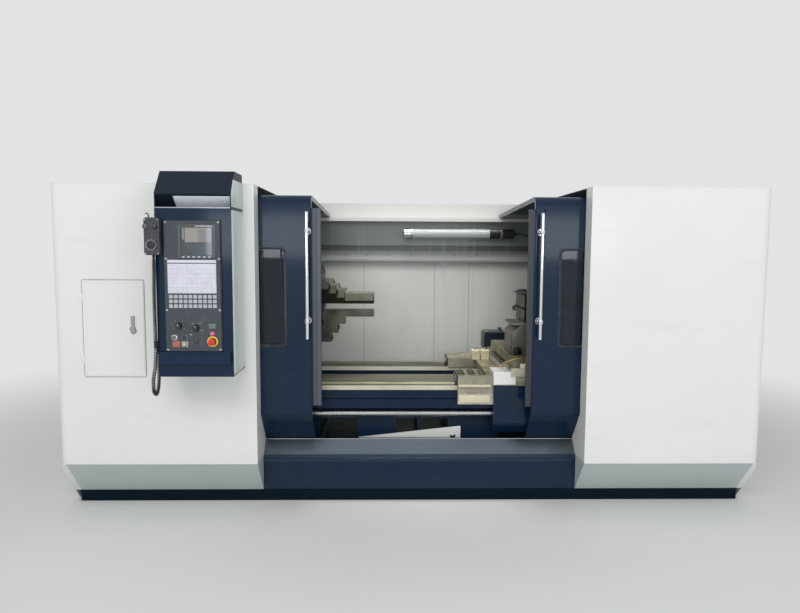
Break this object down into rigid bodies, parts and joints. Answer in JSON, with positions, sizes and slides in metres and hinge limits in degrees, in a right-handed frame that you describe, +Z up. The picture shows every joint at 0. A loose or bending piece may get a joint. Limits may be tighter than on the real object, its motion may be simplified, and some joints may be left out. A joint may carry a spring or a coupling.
{
  "type": "cnc turning lathe",
  "caption": "Large fully guarded flat-bed CNC lathe with two sliding doors, three-jaw chuck, turret, tailstock and a side control box.",
  "frame": {"origin": "centre of the footprint on the floor", "axes": "+X to the right along the spindle towards the tailstock, +Y to the back, +Z up"},
  "size_m": [4.316, 2.1732, 2.05],
  "materials": {
    "white_paint": "semi-gloss, fine",
    "grey_paint": "semi-gloss",
    "navy_paint": "gloss",
    "dark_paint": "satin",
    "wall_grey": "satin",
    "black_steel": "blackened",
    "cast_iron": "machined and oiled",
    "ground_steel": "ground",
    "stainless": "brushed",
    "chrome": "polished",
    "rubber": "matt",
    "window_glass": "clear, seen against the dark inside",
    "black_plastic": "fine grain",
    "pale_plastic": "smooth",
    "red_plastic": "gloss",
    "green_plastic": "gloss"
  },
  "bodies": {
    "machine": {"base_plinth": "dark_paint", "bed": "navy_paint", "sill_tray": "stainless", "apron_panel": "navy_paint", "guard_plate": "white_paint", "left_front_panel": "white_paint", "left_skirt": "grey_paint", "left_side_panel": "white_paint", "left_top_panel": "white_paint", "right_front_panel": "white_paint", "right_skirt": "grey_paint", "right_side_panel": "white_paint", "right_top_panel": "white_paint", "rear_guard": "wall_grey", "door_rail_beam": "white_paint", "lamp_tube": "pale_plastic", "headstock": "dark_paint", "electrical_cabinet": "white_paint", "right_back_panel": "white_paint", "control_box": "navy_paint", "control_hood": "navy_paint", "operator_panel": "dark_paint", "screen": "window_glass", "keypad": "pale_plastic", "pendant_holder": "ground_steel", "pendant": "black_plastic", "pendant_cord": "black_plastic"},
    "left_door": {"left_door": "navy_paint", "left_window": "window_glass", "left_handle": "chrome", "left_seal": "wall_grey"},
    "right_door": {"right_door": "navy_paint", "right_window": "window_glass", "right_handle": "chrome", "right_seal": "rubber"},
    "chuck": {"chuck": "black_steel"},
    "jaw_1": {"jaw_1": "ground_steel"},
    "jaw_2": {"jaw_2": "ground_steel"},
    "jaw_3": {"jaw_3": "ground_steel"},
    "carriage": {"saddle": "cast_iron", "carriage_apron": "navy_paint", "screw_cover": "white_paint", "cross_motor": "black_steel"},
    "ball_screw": {"ball_screw": "ground_steel"},
    "cross_slide": {"cross_slide": "cast_iron", "turret_base": "cast_iron"},
    "turret": {"turret_head": "black_steel", "turning_tool": "ground_steel"},
    "tailstock": {"tailstock": "navy_paint"},
    "quill": {"quill": "ground_steel"},
    "tail_handwheel": {"tail_handwheel": "chrome"},
    "service_hatch": {"service_hatch": "white_paint"},
    "hatch_latch": {"hatch_latch": "black_plastic"},
    "cabinet_door": {"cabinet_door": "white_paint"},
    "selector_knob": {"selector_knob": "black_plastic"},
    "override_knob": {"override_knob": "black_plastic"},
    "start_button": {"start_button": "green_plastic"},
    "estop_button": {"estop_button": "red_plastic"},
    "pendant_dial": {"pendant_dial": "pale_plastic"}
  },
  "joints": [
    {"name": "left_door_slide", "type": "slide", "parent": "machine", "child": "left_door", "axis": [1, 0, 0], "range_m": [0, 0.685]},
    {"name": "right_door_slide", "type": "slide", "parent": "machine", "child": "right_door", "axis": [-1, 0, 0], "range_m": [0, 0.659]},
    {"name": "spindle_spin", "type": "hinge", "parent": "machine", "child": "chuck", "pos_m": [-0.8, 0.01615, 1.235], "axis": [1, 0, 0], "continuous": true},
    {"name": "jaw_1_slide", "type": "slide", "parent": "chuck", "child": "jaw_1", "axis": [0, 0, -1], "range_m": [-0.02, 0.05]},
    {"name": "jaw_2_slide", "type": "slide", "parent": "chuck", "child": "jaw_2", "axis": [0, -0.866, 0.5], "range_m": [-0.02, 0.05]},
    {"name": "jaw_3_slide", "type": "slide", "parent": "chuck", "child": "jaw_3", "axis": [0, 0.866, 0.5], "range_m": [-0.02, 0.05]},
    {"name": "carriage_slide", "type": "slide", "parent": "machine", "child": "carriage", "axis": [1, 0, 0], "range_m": [-0.85, 0]},
    {"name": "ball_screw_spin", "type": "hinge", "parent": "machine", "child": "ball_screw", "pos_m": [0, -0.38885, 0.535], "axis": [1, 0, 0], "continuous": true},
    {"name": "cross_slide_travel", "type": "slide", "parent": "carriage", "child": "cross_slide", "axis": [0, 1, 0], "range_m": [-0.025, 0.12]},
    {"name": "turret_index", "type": "hinge", "parent": "cross_slide", "child": "turret", "pos_m": [0.865, -0.28885, 1.1453], "axis": [0, 0, 1], "continuous": true},
    {"name": "tailstock_slide", "type": "slide", "parent": "machine", "child": "tailstock", "axis": [1, 0, 0], "range_m": [-0.15, 0.12]},
    {"name": "tail_handwheel_spin", "type": "hinge", "parent": "tailstock", "child": "tail_handwheel", "pos_m": [1.735, 0.01615, 1.235], "axis": [-1, 0, 0], "range_deg": [0, 7200]},
    {"name": "quill_slide", "type": "slide", "parent": "tailstock", "child": "quill", "axis": [-1, 0, 0], "range_m": [0, 0.12]},
    {"name": "service_hatch_hinge", "type": "hinge", "parent": "machine", "child": "service_hatch", "pos_m": [-1.98, -0.73715, 1.138], "axis": [0, 0, -1], "range_deg": [0, 105]},
    {"name": "hatch_latch_turn", "type": "hinge", "parent": "service_hatch", "child": "hatch_latch", "pos_m": [-1.685, -0.73745, 1.13], "axis": [0, -1, 0], "range_deg": [0, 90]},
    {"name": "cabinet_door_hinge", "type": "hinge", "parent": "machine", "child": "cabinet_door", "pos_m": [-2.088, 1.08645, 1.04], "axis": [0, 0, 1], "range_deg": [0, 110]},
    {"name": "selector_knob_turn", "type": "hinge", "parent": "machine", "child": "selector_knob", "pos_m": [-1.315, -1.04015, 1.195], "axis": [0, -1, 0], "range_deg": [-60, 60]},
    {"name": "override_knob_turn", "type": "hinge", "parent": "machine", "child": "override_knob", "pos_m": [-1.221, -1.04015, 1.184], "axis": [0, -1, 0], "range_deg": [-135, 135]},
    {"name": "start_button_press", "type": "slide", "parent": "machine", "child": "start_button", "axis": [0, 1, 0], "range_m": [0, 0.004], "stiffness_N_per_m": 300},
    {"name": "estop_button_press", "type": "slide", "parent": "machine", "child": "estop_button", "axis": [0, 1, 0], "range_m": [0, 0.004]},
    {"name": "pendant_dial_turn", "type": "hinge", "parent": "machine", "child": "pendant_dial", "pos_m": [-1.44, -1.07475, 1.638], "axis": [0, -1, 0], "continuous": true}
  ],
  "couplings": [
    {"joint": "jaw_2_slide", "follows": "jaw_1_slide", "ratio": 1},
    {"joint": "jaw_3_slide", "follows": "jaw_1_slide", "ratio": 1},
    {"joint": "ball_screw_spin", "follows": "carriage_slide", "rad_per_m": 314.16},
    {"joint": "quill_slide", "follows": "tail_handwheel_spin", "m_per_rad": 0.00095493}
  ]
}
